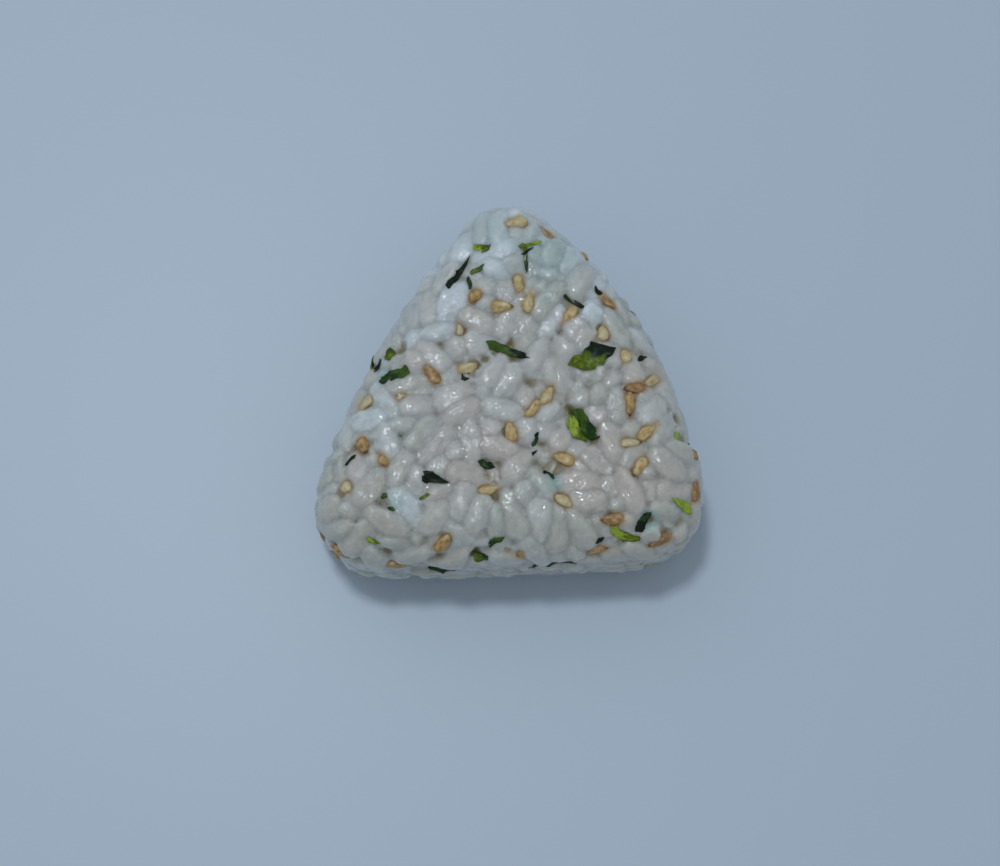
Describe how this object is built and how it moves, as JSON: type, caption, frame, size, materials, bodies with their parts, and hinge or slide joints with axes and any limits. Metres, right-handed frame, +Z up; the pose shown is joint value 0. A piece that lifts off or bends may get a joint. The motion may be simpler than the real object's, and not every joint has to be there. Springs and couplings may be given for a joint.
{
  "type": "onigiri rice ball",
  "caption": "Hand-pressed triangular ball of cooked short-grain rice with toasted sesame and chopped greens mixed in, lying flat.",
  "frame": {"origin": "middle of the footprint, on the surface that the rice ball lies on", "axes": "+Z up through the thickness, +Y from the base edge to the apex, +X to the right along the base edge"},
  "size_m": [0.0654, 0.0642, 0.0272],
  "materials": {
    "cooked_rice": "moist, translucent cooked short-grain rice, soft gloss",
    "toasted_sesame": "toasted hulled sesame, pale gold to brown, satin",
    "chopped_greens": "chopped blanched leaf, moist, dark green to lime at the stalk"
  },
  "bodies": {
    "root": {"rice_ball": "cooked_rice"}
  },
  "joints": []
}
